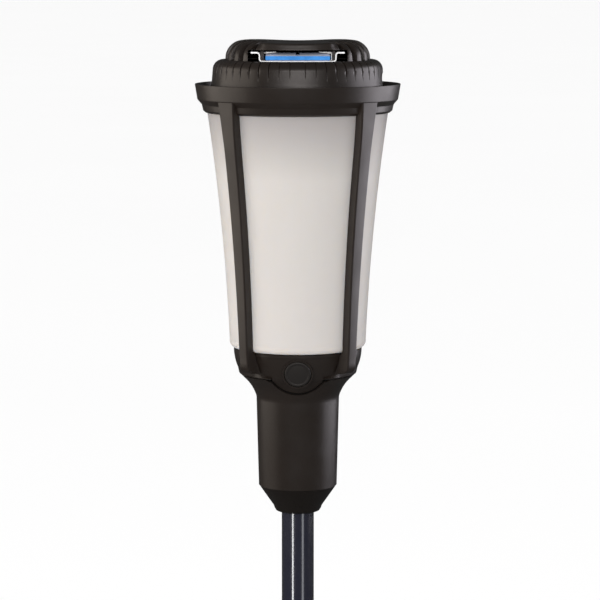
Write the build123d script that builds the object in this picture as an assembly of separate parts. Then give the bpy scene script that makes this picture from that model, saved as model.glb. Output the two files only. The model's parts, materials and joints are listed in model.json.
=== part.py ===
from build123d import *
from math import cos, radians, sin
import os

# Garden torch: a frosted lantern head with a heated repellent mat on top, a handle that holds
# the fuel cartridge and the cells, a pole in three tubes and a spike that goes into the soil.
# Millimetres, +Z up. The origin is on the pole's axis at ground level, and the front faces -Y.

# ---------------------------------------------------------------- driving dimensions
# Pole and ground spike
POLE_EXPOSED = 950.0          # ground line to the lower end of the head's nose
POLE_TUBES = 3
POLE_R = 11.65
POLE_WALL = 0.9
CONNECTOR_FLANGE = 3.0
CONNECTOR_REACH = 30.0
SPIKE_DEPTH = 160.0
SPIKE_R = 7.0
SPIKE_STRAIGHT = 100.0
STOP_R = 32.0
STOP_THICK = 3.0

# Heights in the head are counted from the lower end of its nose
HEAD_BASE = POLE_EXPOSED
NOSE_TOP = 17.0
HANDLE_TOP = 80.6             # where the grip starts to flare
SEAM = 97.2                   # where the head lifts off the handle
SEAM_GAP = 0.5
CUP_BOTTOM = SEAM + SEAM_GAP
COLLAR_TOP = 101.2
FLARE_TOP = 95.6
CUP_TOP = 116.0
LENS_BOTTOM = 116.6
LENS_TOP = 288.0
RIM_FLOOR = 296.2             # floor of the channel inside the rim
RIM_TOP = 305.6
SHELF = 322.2                 # ledge of the lower grille that carries the upper one
CREST = 323.3                 # top of the lower grille's rounded shoulder
TOP = 337.5

# Radii
NOSE_END_R = 17.6
HANDLE_LOW_R = 27.6
HANDLE_HIGH_R = 29.2
SEAM_R = 40.8
FLARE_R = 39.2
CUP_SEAM_R = 41.0
CUP_R = 46.1
LENS_LOW_R = 49.0
LENS_HIGH_R = 64.9
RIM_R = 74.2
LOWER_GRILLE_R = 61.6
UPPER_GRILLE_R = 51.8
WALL = 1.8

# Cage posts
POST_COUNT = 4
POST_PROUD = 6.3              # how far a post stands out from the lens
POST_TOP_WIDTH = 15.1
POST_UPPER_WIDTH = 11.2
POST_LOWER_WIDTH = 7.6

# Front button
BUTTON_R = 9.4
BUTTON_HEIGHT = 102.1
BUTTON_TILT = 13.0            # degrees that its face looks down
BUTTON_FACE_R = 43.5          # distance from the pole's axis to the button's face
BUTTON_TRAVEL = 1.8
BUTTON_GAP = 0.35

# Front panel: its width above the seam, and the round tongue below it
PANEL_HALF = 30.5
PANEL_RECESS = 1.0            # how far the panel lies behind the cup's side line
TONGUE_HALF = 18.7
TONGUE_BOTTOM = 87.0

# Rear fuel dial
DIAL_HEIGHT = 106.5
DIAL_R = 9.4
DIAL_INNER = 46.6             # distance from the pole's axis to the knob's inner face
STEM_R = 3.0
RUNNING = 0.05

# Ignition lead, straight up from the igniter to the electrode beside the burner
LEAD_AT = (13.0, 9.0)
LEAD_HOLE_R = 1.2
ELECTRODE_LOW = 296.4

# Fuel cartridge and AA cells
CARTRIDGE_R = 10.5
CARTRIDGE_BOTTOM = 29.0
CARTRIDGE_SHOULDER = 88.0
CAN_WALL = 0.6
NECK_BORE_R = 1.0
NECK_R = 4.6
NECK_TOP = 101.5
CELL_R = 7.1
CELL_LENGTH = 50.5
CELL_PITCH_R = 18.4
CELL_BOTTOM = 24.6
CELLS = 4
CARRIER_R = 25.4
CARRIER_BOTTOM = 20.0
CARRIER_TOP = 78.5
PLATE = 2.0

# Repellent mat, its tray and the front window it slides out of
MAT_WIDTH = 45.2
MAT_DEPTH = 45.0
MAT_THICK = 3.4
MAT_FRONT = -34.0
MAT_BOTTOM = 323.6
WINDOW_HALF = 34.9
WINDOW_TOP = 330.6
TRAY_WIDTH = 54.2
TRAY_FLANGE_HALF = 32.8
TRAY_FRONT = -37.0
TRAY_BACK = 14.0
TRAY_TOP = 330.2
SHEET = 0.9

# Arched vent on the right of the lower grille
VENT_HALF = 13.0
VENT_TOP = 313.5
VENT_CORNER = 7.0

# Heater, light column and light ring
DECK_TOP = 320.0
DECK_THICK = 1.2
BULKHEAD_TOP = 293.2
BULKHEAD_THICK = 2.4
BULKHEAD_R = 62.0
COLUMN_R = 12.0
COLUMN_WALL = 1.5
LEDS = 8


# ---------------------------------------------------------------- helpers
def lathe(*outline):
    """Turn a closed outline of (radius, height) curves about the pole's axis."""
    edges = [edge for curve in outline for edge in curve.edges()]
    return revolve(Plane.XZ * make_face(edges), Axis.Z)


def lathe_points(*points):
    return lathe(Polyline(*points, close=True))


def tube(outer, inner, low, high):
    return lathe_points((inner, low), (outer, low), (outer, high), (inner, high))


def rod(radius, low, high):
    return Pos(0, 0, low) * Cylinder(radius, high - low, align=(Align.CENTER, Align.CENTER, Align.MIN))


def block(x, y, z):
    """Box from (low, high) pairs."""
    size = [high - low for low, high in (x, y, z)]
    middle = [(high + low) / 2 for low, high in (x, y, z)]
    return Pos(*middle) * Box(*size)


def around(count, start=0.0):
    """Rotations that share a full turn equally."""
    return [Rot(0, 0, start + 360.0 * turn / count) for turn in range(count)]


def screw(head_r, head_height, shank_r, shank_length):
    """Cross-head screw, head down, shank along +Z from the origin."""
    head = rod(head_r, -head_height, 0)
    shank = rod(shank_r, 0, shank_length)
    slot = 0.7
    cross = block((-head_r * 0.6, head_r * 0.6), (-slot / 2, slot / 2), (-head_height, -head_height + slot))
    return head + shank - cross - Rot(0, 0, 90) * cross


NODES = {}


def keep(name, *solids, base=0.0):
    """File one node: its solids, lifted to the height that they were drawn from."""
    placed = [Pos(0, 0, base) * solid for solid in solids]
    NODES[name] = placed[0] if len(placed) == 1 else Compound(children=placed)


# ---------------------------------------------------------------- pole and spike
def make_pole():
    bore_r = POLE_R - POLE_WALL
    plug_r = bore_r - RUNNING
    span = POLE_EXPOSED / POLE_TUBES
    socket_depth = 13.0

    tip_r = 1.2
    spike = lathe_points(
        (0, -SPIKE_DEPTH), (tip_r, -SPIKE_DEPTH), (SPIKE_R, -SPIKE_STRAIGHT), (SPIKE_R, 0),
        (STOP_R, 0), (STOP_R, STOP_THICK), (plug_r, STOP_THICK), (plug_r, 45), (0, 45))
    keep("ground_spike", spike)

    collar = lathe_points(
        (POLE_R + 0.3, STOP_THICK), (POLE_R + 5, STOP_THICK), (POLE_R + 2.5, 14), (POLE_R + 0.3, 14))
    rib_outline = Polyline((POLE_R + 3, STOP_THICK), (STOP_R - 3, STOP_THICK), (POLE_R + 2.5, 12), close=True)
    rib = extrude(Plane.XZ * make_face(rib_outline), 1.2, both=True)
    for turn in around(4, 45):
        collar += turn * rib
    keep("stop_collar", collar)

    names = ["lower_pole", "middle_pole", "upper_pole"]
    flanges = []
    for index, name in enumerate(names):
        low = STOP_THICK if index == 0 else index * span + CONNECTOR_FLANGE / 2
        high = (index + 1) * span - CONNECTOR_FLANGE / 2
        if index == POLE_TUBES - 1:
            high = POLE_EXPOSED + socket_depth
        else:
            middle = (index + 1) * span
            flange = rod(POLE_R + 0.7, middle - CONNECTOR_FLANGE / 2, middle + CONNECTOR_FLANGE / 2)
            plug = tube(plug_r, plug_r - 2, middle - CONNECTOR_REACH, middle + CONNECTOR_REACH)
            flanges.append(flange + plug)
        keep(name, tube(POLE_R, bore_r, low, high))
    keep("pole_connectors", *flanges)


# ---------------------------------------------------------------- handle
def tongue_prism(grow, high):
    """Front-to-back cutter for the panel's round tongue, widened by grow all round, up to a height."""
    drop = CUP_BOTTOM - TONGUE_BOTTOM
    tongue_r = (TONGUE_HALF ** 2 + drop ** 2) / (2 * drop)
    disc = Pos(0, TONGUE_BOTTOM + tongue_r) * Circle(tongue_r + grow)
    below_seam = Pos(0, CUP_BOTTOM - 20) * Rectangle(100, 40)
    neck = Pos(0, (high + CUP_BOTTOM) / 2) * Rectangle(2 * (TONGUE_HALF + grow), high - CUP_BOTTOM)
    return extrude(Plane.XZ * ((disc & below_seam) + neck), 80)


def make_handle():
    inner_low = HANDLE_LOW_R - WALL
    shell = lathe(
        Line((HANDLE_LOW_R, NOSE_TOP), (HANDLE_HIGH_R, HANDLE_TOP)),
        flare_arc(0),
        Polyline((FLARE_R, FLARE_TOP), (SEAM_R, SEAM), (SEAM_R - 3.4, SEAM), (FLARE_R - WALL, FLARE_TOP)),
        flare_arc(-WALL),
        Polyline((HANDLE_HIGH_R - WALL, HANDLE_TOP), (inner_low, NOSE_TOP), (HANDLE_LOW_R, NOSE_TOP)),
    )
    shell -= tongue_prism(SEAM_GAP, SEAM + 5)
    keep("handle", shell, base=HEAD_BASE)

    bore_r = POLE_R + 0.1
    nose = lathe(
        ThreePointArc((NOSE_END_R, 1.2), (21.0, 9.4), (HANDLE_LOW_R - 0.2, NOSE_TOP - 0.4)),
        Polyline(
            (HANDLE_LOW_R - 0.2, NOSE_TOP - 0.4), (HANDLE_LOW_R - 0.2, NOSE_TOP), (inner_low, NOSE_TOP),
            (inner_low, 19.5), (0, 19.5), (0, 13.0), (bore_r, 13.0), (bore_r, 0), (NOSE_END_R - 1.6, 0)),
        ThreePointArc((NOSE_END_R - 1.6, 0), (NOSE_END_R - 0.35, 0.4), (NOSE_END_R, 1.2)),
    )
    keep("nose_socket", nose, base=HEAD_BASE)


def make_power():
    centre_r = CARTRIDGE_R + 0.8
    carrier = tube(CARRIER_R, centre_r, CARRIER_BOTTOM, CARRIER_BOTTOM + PLATE)
    carrier += tube(CARRIER_R, centre_r, CARRIER_TOP - PLATE, CARRIER_TOP)
    rib = block((centre_r + 0.6, CARRIER_R - 0.6), (-1.2, 1.2), (CARRIER_BOTTOM, CARRIER_TOP))
    for turn in around(CELLS, 45):
        carrier += turn * rib
    keep("battery_carrier", carrier, base=HEAD_BASE)

    nub_r = 2.6
    cell = rod(CELL_R, CELL_BOTTOM, CELL_BOTTOM + CELL_LENGTH - 1.5)
    cell += rod(nub_r, CELL_BOTTOM + CELL_LENGTH - 1.5, CELL_BOTTOM + CELL_LENGTH)
    out = Pos(CELL_PITCH_R, 0, 0)
    keep("cells", *[turn * out * cell for turn in around(CELLS)], base=HEAD_BASE)

    low = CARRIER_BOTTOM + PLATE
    cone = lathe_points((4.6, low), (5.4, low), (3.2, CELL_BOTTOM), (2.4, CELL_BOTTOM))
    keep("cell_springs", *[turn * out * cone for turn in around(CELLS)], base=HEAD_BASE)

    top = CARRIER_TOP - PLATE
    pad = rod(3.4, CELL_BOTTOM + CELL_LENGTH, top)
    keep("cell_contacts", *[turn * out * pad for turn in around(CELLS)], base=HEAD_BASE)

    dome = CARTRIDGE_R - 4
    cartridge = lathe(
        Polyline(
            (0, CARTRIDGE_BOTTOM), (CARTRIDGE_R - 1, CARTRIDGE_BOTTOM), (CARTRIDGE_R, CARTRIDGE_BOTTOM + 1)),
        Line((CARTRIDGE_R, CARTRIDGE_BOTTOM + 1), (CARTRIDGE_R, CARTRIDGE_SHOULDER)),
        ThreePointArc((CARTRIDGE_R, CARTRIDGE_SHOULDER), (9.2, 91.2), (dome, 93.0)),
        Polyline((dome, 93.0), (NECK_R, 93.6), (NECK_R, NECK_TOP), (0, NECK_TOP), (0, CARTRIDGE_BOTTOM)),
    )
    can_low = CARTRIDGE_BOTTOM + CAN_WALL
    can_high = 92.0
    cartridge -= lathe_points(
        (0, can_low), (CARTRIDGE_R - CAN_WALL, can_low), (CARTRIDGE_R - CAN_WALL, CARTRIDGE_SHOULDER),
        (dome - CAN_WALL, can_high), (NECK_BORE_R, can_high), (NECK_BORE_R, NECK_TOP), (0, NECK_TOP))
    keep("fuel_cartridge", cartridge, base=HEAD_BASE)


# ---------------------------------------------------------------- head: cup, panel, button
def cup_arc(offset):
    """Side line of the cup, moved out by offset, from the seam up."""
    return ThreePointArc(
        (CUP_SEAM_R + offset, CUP_BOTTOM), (44.6 + offset, 105.8), (CUP_R + offset, CUP_TOP))


def flare_arc(offset):
    """Side line of the flare, moved out by offset, from the grip up."""
    return ThreePointArc(
        (HANDLE_HIGH_R + offset, HANDLE_TOP), (33.6 + offset, 89.6), (FLARE_R + offset, FLARE_TOP))


def cup_skin(outer, inner):
    """Skin that follows the cup between two offsets from its side line."""
    return lathe(
        cup_arc(outer),
        Line((CUP_R + outer, CUP_TOP), (CUP_R + inner, CUP_TOP)),
        cup_arc(inner),
        Line((CUP_SEAM_R + inner, CUP_BOTTOM), (CUP_SEAM_R + outer, CUP_BOTTOM)),
    )


def flare_skin(outer, inner):
    """Skin that carries the cup's side line on down over the flare, between two offsets."""
    return lathe(
        flare_arc(outer),
        Line((FLARE_R + outer, FLARE_TOP), (CUP_SEAM_R + outer, CUP_BOTTOM)),
        Line((CUP_SEAM_R + outer, CUP_BOTTOM), (CUP_SEAM_R + inner, CUP_BOTTOM)),
        Line((CUP_SEAM_R + inner, CUP_BOTTOM), (FLARE_R + inner, FLARE_TOP)),
        flare_arc(inner),
        Line((HANDLE_HIGH_R + inner, HANDLE_TOP), (HANDLE_HIGH_R + outer, HANDLE_TOP)),
    )


DIAL_AXIS = Pos(0, 0, DIAL_HEIGHT) * Rot(-90, 0, 0)
BUTTON_SEAT = Plane(
    origin=(0, -BUTTON_FACE_R, BUTTON_HEIGHT), x_dir=(1, 0, 0),
    z_dir=(0, -cos(radians(BUTTON_TILT)), -sin(radians(BUTTON_TILT))))


def make_cup():
    thick = WALL + 0.2
    panel_front = block((-PANEL_HALF, PANEL_HALF), (-80, 0), (CUP_BOTTOM, CUP_TOP - PLATE))
    panel_zone = panel_front + tongue_prism(0, CUP_BOTTOM + 3)

    deck_r = CUP_R - thick
    cup = cup_skin(0, -thick)
    cup += tube(deck_r, COLUMN_R - COLUMN_WALL, CUP_TOP - PLATE, CUP_TOP)
    cup -= panel_front
    cup -= DIAL_AXIS * rod(STEM_R + 0.4, 30, 50)
    cup -= Pos(*LEAD_AT, 0) * rod(LEAD_HOLE_R, 100, 130)
    keep("base_cup", cup, base=HEAD_BASE)

    back = -PANEL_RECESS - thick
    panel = (cup_skin(-PANEL_RECESS, back) + flare_skin(-PANEL_RECESS, back)) & panel_zone
    seat = BUTTON_SEAT.location
    panel += seat * tube(BUTTON_R + 1.4, BUTTON_R + BUTTON_GAP, -4.0, -0.4)
    panel -= seat * rod(BUTTON_R + BUTTON_GAP, -12, 6)
    panel &= block((-60, 60), (-60, 0), (80, CUP_TOP - PLATE - 0.1))
    keep("front_panel", panel, base=HEAD_BASE)

    dome_r = BUTTON_R - 1.7
    dome_rise = 0.8
    dome_curve = (dome_r ** 2 + dome_rise ** 2) / (2 * dome_rise)
    cap = lathe(
        Polyline((0, -3.8), (BUTTON_R, -3.8), (BUTTON_R, -0.7), (BUTTON_R - 0.4, -0.1), (BUTTON_R - 0.9, 0)),
        Line((BUTTON_R - 0.9, 0), (dome_r, -0.35)),
        RadiusArc((dome_r, -0.35), (0, dome_rise - 0.35), -dome_curve),
        Line((0, dome_rise - 0.35), (0, -3.8)),
    )
    cap += rod(2.0, -6.0, -3.8)
    keep("light_button", seat * cap, base=HEAD_BASE)

    switch = seat * block((-3, 3), (-3, 3), (-11.5, -6.0 - BUTTON_TRAVEL - 0.2))
    board = seat * block((-10, 10), (-6, 6), (-13.1, -11.5))
    keep("light_switch", switch, base=HEAD_BASE)
    keep("switch_board", board, base=HEAD_BASE)

    gasket = tube(40.2, 38.2, SEAM, CUP_BOTTOM)
    gasket -= tongue_prism(SEAM_GAP, SEAM + 5)
    keep("seam_gasket", gasket, base=HEAD_BASE)


def make_fuel_path():
    valve = rod(10.0, 97.5, CUP_TOP - PLATE)
    valve -= rod(NECK_R + 0.4, 97.5, NECK_TOP + 0.6)
    stem_reach = 5.0
    valve_back = 10.0
    valve -= DIAL_AXIS * rod(STEM_R + RUNNING, valve_back - stem_reach, 12)
    keep("fuel_valve", valve, base=HEAD_BASE)

    stem = DIAL_AXIS * rod(STEM_R, valve_back - stem_reach + 0.3, DIAL_INNER)
    flat = 0.9
    grip_low = DIAL_INNER
    knob = rod(DIAL_R, grip_low, grip_low + 7)
    knob += block((-2.2, 2.2), (-DIAL_R + 1, DIAL_R - 1), (grip_low + 7, grip_low + 9.5))
    for turn in around(12):
        knob -= turn * block((DIAL_R - flat, DIAL_R + 1), (-0.8, 0.8), (grip_low + 1.5, grip_low + 8))
    keep("dial_stem", stem, base=HEAD_BASE)
    keep("fuel_dial", DIAL_AXIS * knob, base=HEAD_BASE)

    burner_low = 300.0
    pipe = tube(1.6, 0.9, CUP_TOP - PLATE, burner_low)
    keep("fuel_pipe", pipe, base=HEAD_BASE)
    burner = lathe_points(
        (1.7, burner_low - 6), (4, burner_low - 6), (4, burner_low), (9, burner_low + 3), (9, 314),
        (7.6, 314), (7.6, burner_low + 4.4), (1.7, burner_low + 1))
    keep("burner", burner, base=HEAD_BASE)

    deck_low = CUP_TOP - PLATE
    igniter = block((9.5, 18), (7, 15), (94, deck_low))
    keep("igniter", igniter, base=HEAD_BASE)
    tip = Pos(*LEAD_AT, 0)
    keep("ignition_lead", tip * rod(0.8, deck_low, ELECTRODE_LOW), base=HEAD_BASE)
    electrode = tip * rod(1.8, ELECTRODE_LOW, 306) + tip * rod(0.6, 306, 315)
    keep("spark_electrode", electrode, base=HEAD_BASE)

    pin = Pos(-18.4, 0, 0) * rod(1.5, CARRIER_TOP + 0.3, deck_low)
    keep("contact_pins", Rot(0, 0, 30) * pin, Rot(0, 0, -30) * pin, base=HEAD_BASE)


# ---------------------------------------------------------------- head: lens, light, cage
def lens_arc(offset):
    """Side line of the lens, moved out by offset, from the bottom up."""
    return ThreePointArc(
        (LENS_LOW_R + offset, 122.0), (54.6 + offset, 203.0), (LENS_HIGH_R + offset, LENS_TOP))


def make_lens():
    lip = 5.0
    low = LENS_BOTTOM
    lens = lathe(
        lens_arc(0),
        Line((LENS_HIGH_R, LENS_TOP), (LENS_HIGH_R - WALL, LENS_TOP)),
        lens_arc(-WALL),
        Polyline(
            (LENS_LOW_R - WALL, 122.0), (LENS_LOW_R - 2.8, low + WALL),
            (LENS_LOW_R - 3 - lip, low + WALL), (LENS_LOW_R - 3 - lip, low), (LENS_LOW_R - 3, low)),
        ThreePointArc((LENS_LOW_R - 3, low), (LENS_LOW_R - 1.0, low + 1.5), (LENS_LOW_R, 122.0)),
    )
    keep("lens", lens, base=HEAD_BASE)

    light_top = BULKHEAD_TOP - BULKHEAD_THICK
    column = tube(COLUMN_R, COLUMN_R - COLUMN_WALL, CUP_TOP, light_top)
    keep("light_column", column, base=HEAD_BASE)
    ring = tube(46, 22, light_top - 1.6, light_top)
    keep("light_ring", ring, base=HEAD_BASE)
    chip = Pos(34, 0, 0) * block((-1.75, 1.75), (-1.75, 1.75), (light_top - 2.5, light_top - 1.6))
    keep("light_chips", *[turn * chip for turn in around(LEDS)], base=HEAD_BASE)

    boss_r = 56.0
    shelf_low = BULKHEAD_TOP
    bulkhead = tube(BULKHEAD_R, 5.0, light_top, BULKHEAD_TOP)
    fixing = Pos(boss_r, 0, 0)
    bulkhead -= Pos(*LEAD_AT, 0) * rod(LEAD_HOLE_R, light_top - 1, shelf_low + 1)
    for turn in around(4):
        bulkhead -= turn * fixing * rod(1.6, light_top - 1, shelf_low + 1)
    keep("bulkhead", bulkhead, base=HEAD_BASE)
    fastener = Pos(boss_r, 0, light_top) * screw(2.8, 1.9, 1.3, BULKHEAD_THICK + 2.6)
    keep("cage_screws", *[turn * fastener for turn in around(4)], base=HEAD_BASE)


def make_cage():
    rim = lathe_points(
        (65.3, 284.4), (67.6, 286.0), (68.9, 290.5), (72.4, 294.2), (RIM_R, RIM_TOP - 0.7),
        (RIM_R - 0.3, RIM_TOP), (RIM_R - 1.1, RIM_TOP), (RIM_R - 1.5, RIM_TOP - 0.7), (71.0, RIM_FLOOR),
        (52.0, RIM_FLOOR), (52.0, BULKHEAD_TOP), (64.0, BULKHEAD_TOP), (65.3, 292.0))
    for turn in around(4):
        rim -= turn * Pos(56.0, 0, 0) * rod(1.3, BULKHEAD_TOP - 1, BULKHEAD_TOP + 2.7)

    clear = 0.25
    join = 294.2
    foot_top = (54.3, 108.5)
    foot_under = (50.5, 102.0)
    post_band = lathe(
        ThreePointArc((LENS_LOW_R + POST_PROUD, 122.0), (54.6 + POST_PROUD, 203.0), (69.4, 276.0)),
        Polyline(
            (69.4, 276.0), (72.4, join), (65.4, join), (65.4, LENS_TOP), (LENS_HIGH_R + clear, LENS_TOP)),
        lens_arc(clear),
        Polyline((LENS_LOW_R + clear, 122.0), (LENS_LOW_R + clear, CUP_TOP), (CUP_R + clear, CUP_TOP)),
        cup_arc(clear),
        Polyline((CUP_SEAM_R + clear, CUP_BOTTOM), (42.4, CUP_BOTTOM), (43.6, COLLAR_TOP), foot_under),
        ThreePointArc(foot_under, (53.3, 104.2), foot_top),
        Line(foot_top, (LENS_LOW_R + POST_PROUD, 122.0)),
    )
    half_view = [
        (POST_LOWER_WIDTH / 2, CUP_BOTTOM - 1), (POST_LOWER_WIDTH / 2, 118.0),
        (POST_UPPER_WIDTH / 2, 262.0), (POST_TOP_WIDTH / 2, join)]
    front_view = half_view + [(-half, height) for half, height in reversed(half_view)]
    blade = extrude(Plane.XZ * make_face(Polyline(*front_view, close=True)), 90)
    post = post_band & blade

    collar = cup_skin(0.6, clear) & block((-60, 60), (-60, 60), (CUP_BOTTOM, COLLAR_TOP))
    collar -= tongue_prism(SEAM_GAP, COLLAR_TOP + 2)
    cage = rim
    for turn in around(POST_COUNT, 45):
        cage += turn * post
    cage += collar
    keep("cage", cage, base=HEAD_BASE)


# ---------------------------------------------------------------- head: heater and grilles
def make_heater():
    deck = tube(56.0, 9.6, DECK_TOP - DECK_THICK, DECK_TOP)
    keep("heater_deck", deck, base=HEAD_BASE)
    plate_half = 25.0
    tray_low = 322.4
    plate = block((-plate_half, plate_half), (-30, 12), (DECK_TOP, tray_low))
    keep("heater_plate", plate, base=HEAD_BASE)

    half = TRAY_WIDTH / 2
    flange_low = TRAY_TOP - SHEET
    right_side = [
        (half - SHEET, tray_low + SHEET), (half - SHEET, TRAY_TOP), (TRAY_FLANGE_HALF, TRAY_TOP),
        (TRAY_FLANGE_HALF, flange_low), (half + 0.6, flange_low), (half, tray_low)]
    left_side = [(-x, height) for x, height in reversed(right_side)]
    section = make_face(Polyline(*right_side, *left_side, close=True))
    tray = Pos(0, TRAY_BACK, 0) * extrude(Plane.XZ * section, TRAY_BACK - TRAY_FRONT)
    keep("mat_tray", tray, base=HEAD_BASE)

    guide = block((-1.4, 1.4), (-33, 12), (tray_low + SHEET, 329.0))
    guide_offset = 24.6
    keep("mat_guides", Pos(-guide_offset, 0, 0) * guide, Pos(guide_offset, 0, 0) * guide, base=HEAD_BASE)

    mat_half = MAT_WIDTH / 2
    mat_back = MAT_FRONT + MAT_DEPTH
    mat = block((-mat_half, mat_half), (MAT_FRONT, mat_back), (MAT_BOTTOM, MAT_BOTTOM + MAT_THICK))
    keep("repellent_mat", mat, base=HEAD_BASE)


def make_grilles():
    lower = lathe(
        Line((LOWER_GRILLE_R, RIM_FLOOR), (LOWER_GRILLE_R - 1.0, 315.5)),
        ThreePointArc((LOWER_GRILLE_R - 1.0, 315.5), (58.9, 320.9), (54.8, CREST)),
        Polyline(
            (54.8, CREST), (52.4, CREST - 0.3), (UPPER_GRILLE_R + 0.1, SHELF), (44.0, SHELF),
            (44.0, DECK_TOP), (57.0, DECK_TOP), (58.4, 317.0), (LOWER_GRILLE_R - 2.4, RIM_FLOOR),
            (LOWER_GRILLE_R, RIM_FLOOR)),
    )
    arch = Pos(60, 0, (VENT_TOP + RIM_FLOOR) / 2) * Box(24, 2 * VENT_HALF, VENT_TOP - RIM_FLOOR)
    arch = fillet(arch.edges().filter_by(Axis.X).group_by(Axis.Z)[-1], VENT_CORNER)
    keep("lower_grille", lower - arch, base=HEAD_BASE)

    upper = lathe(
        Line((UPPER_GRILLE_R, SHELF), (UPPER_GRILLE_R - 0.3, 326.0)),
        ThreePointArc((UPPER_GRILLE_R - 0.3, 326.0), (48.6, 332.2), (40.0, 336.8)),
        Polyline(
            (40.0, 336.8), (33.0, TOP), (0, TOP - 1.0), (0, TOP - 3.0), (33.0, TOP - 2.2), (39.4, 334.7)),
        ThreePointArc((39.4, 334.7), (46.6, 330.6), (UPPER_GRILLE_R - 2.5, 325.6)),
        Polyline((UPPER_GRILLE_R - 2.5, 325.6), (UPPER_GRILLE_R - 2.4, SHELF), (UPPER_GRILLE_R, SHELF)),
    )
    upper -= block((-WINDOW_HALF, WINDOW_HALF), (-70, 0), (SHELF - 1, WINDOW_TOP))
    keep("upper_grille", upper, base=HEAD_BASE)


make_pole()
make_handle()
make_power()
make_cup()
make_fuel_path()
make_lens()
make_cage()
make_heater()
make_grilles()

os.makedirs("parts", exist_ok=True)
for node_name, node_shape in NODES.items():
    export_step(node_shape, f"parts/{node_name}.step")
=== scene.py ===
import json
from math import atan2, cos, exp, hypot, pi, radians, sin, sqrt, tan

import bmesh
import bpy
from mathutils import Matrix, Vector


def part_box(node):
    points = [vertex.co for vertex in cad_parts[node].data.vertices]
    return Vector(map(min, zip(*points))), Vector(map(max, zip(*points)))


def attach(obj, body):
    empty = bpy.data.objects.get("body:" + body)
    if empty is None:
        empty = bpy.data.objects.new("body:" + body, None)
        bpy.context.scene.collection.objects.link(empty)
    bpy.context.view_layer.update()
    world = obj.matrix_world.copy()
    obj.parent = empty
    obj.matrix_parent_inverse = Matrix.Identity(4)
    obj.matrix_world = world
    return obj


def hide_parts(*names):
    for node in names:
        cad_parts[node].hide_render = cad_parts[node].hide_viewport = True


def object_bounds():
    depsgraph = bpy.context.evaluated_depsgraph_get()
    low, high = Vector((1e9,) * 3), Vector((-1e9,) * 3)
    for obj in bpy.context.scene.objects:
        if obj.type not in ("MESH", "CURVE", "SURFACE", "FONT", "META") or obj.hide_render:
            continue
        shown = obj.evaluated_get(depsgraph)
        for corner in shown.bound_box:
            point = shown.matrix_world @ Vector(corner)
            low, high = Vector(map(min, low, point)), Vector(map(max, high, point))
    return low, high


# Looks of the garden torch. Metres, +Z up, front at -Y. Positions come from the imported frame.

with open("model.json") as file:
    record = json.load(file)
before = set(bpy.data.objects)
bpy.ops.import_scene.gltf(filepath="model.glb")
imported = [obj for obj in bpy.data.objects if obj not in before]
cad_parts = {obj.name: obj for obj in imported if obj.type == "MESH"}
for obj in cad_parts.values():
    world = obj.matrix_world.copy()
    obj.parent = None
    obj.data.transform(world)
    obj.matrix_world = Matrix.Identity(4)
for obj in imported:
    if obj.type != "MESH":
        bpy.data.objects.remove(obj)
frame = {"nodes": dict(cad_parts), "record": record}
cad_nodes = frame["nodes"]
cad_box = [list(corner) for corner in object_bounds()]

# ---------------------------------------------------------------- sizes from the frame
MM = 0.001
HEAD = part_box("nose_socket")[0].z              # lower end of the CAD's nose
LENS_LOW, LENS_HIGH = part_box("lens")
TRAY_LOW, TRAY_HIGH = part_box("mat_tray")
MAT_LOW, MAT_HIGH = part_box("repellent_mat")
SEAM_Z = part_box("handle")[1].z                 # where the head lifts off the grip
CUP_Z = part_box("base_cup")[0].z
TONGUE_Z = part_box("front_panel")[0].z          # lowest point of the panel's round tongue


def level(z):
    """Height of z above the CAD's nose end, in millimetres to a tenth. Outlines use such heights."""
    return round((z - HEAD) / MM, 1)


def mm(radius, height):
    """Point of an outline in metres, from a radius and a height in millimetres."""
    return (radius * MM, HEAD + height * MM)


SEAM = level(SEAM_Z)
CUP_BOTTOM = level(CUP_Z)
CUP_TOP = level(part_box("base_cup")[1].z)
LENS_TOP = level(LENS_HIGH.z)
BULKHEAD_TOP = level(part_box("bulkhead")[1].z)
RIM_FLOOR = level(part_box("lower_grille")[0].z)
RIM_TOP = level(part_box("cage")[1].z)
SHELF = level(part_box("upper_grille")[0].z)     # ledge that carries the upper tier


# ---------------------------------------------------------------- outlines
def arc3(start, middle, end, count=16):
    """Points on the circle through three points, from start to end."""
    (ax, ay), (bx, by), (cx, cy) = start, middle, end
    a_square = ax**2 + ay**2
    b_square = bx**2 + by**2
    c_square = cx**2 + cy**2
    twice = 2 * (ax * (by - cy) + bx * (cy - ay) + cx * (ay - by))
    centre_x = (a_square * (by - cy) + b_square * (cy - ay) + c_square * (ay - by)) / twice
    centre_y = (a_square * (cx - bx) + b_square * (ax - cx) + c_square * (bx - ax)) / twice
    radius = hypot(ax - centre_x, ay - centre_y)
    first = atan2(ay - centre_y, ax - centre_x)
    to_middle = (atan2(by - centre_y, bx - centre_x) - first) % (2 * pi)
    sweep = (atan2(cy - centre_y, cx - centre_x) - first) % (2 * pi)
    if to_middle > sweep:
        sweep -= 2 * pi
    turns = [first + sweep * step / count for step in range(count + 1)]
    return [(centre_x + radius * cos(turn), centre_y + radius * sin(turn)) for turn in turns]


def rounded(corners, closed=True, steps=5):
    """Outline through corners (x, y, radius), each corner rounded by its radius."""
    points = []
    total = len(corners)
    for index, (x, y, radius) in enumerate(corners):
        is_end = not closed and index in (0, total - 1)
        if radius <= 0 or is_end:
            points.append((x, y))
            continue
        here = Vector((x, y))
        before = Vector(corners[index - 1][:2]) - here
        after = Vector(corners[(index + 1) % total][:2]) - here
        half = before.angle(after) / 2
        reach = min(radius / tan(half), 0.49 * before.length, 0.49 * after.length)
        start = here + before.normalized() * reach
        end = here + after.normalized() * reach
        for step in range(steps + 1):
            t = step / steps
            curve = start * (1 - t) ** 2 + here * 2 * t * (1 - t) + end * t**2
            points.append((curve.x, curve.y))
    return points


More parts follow.
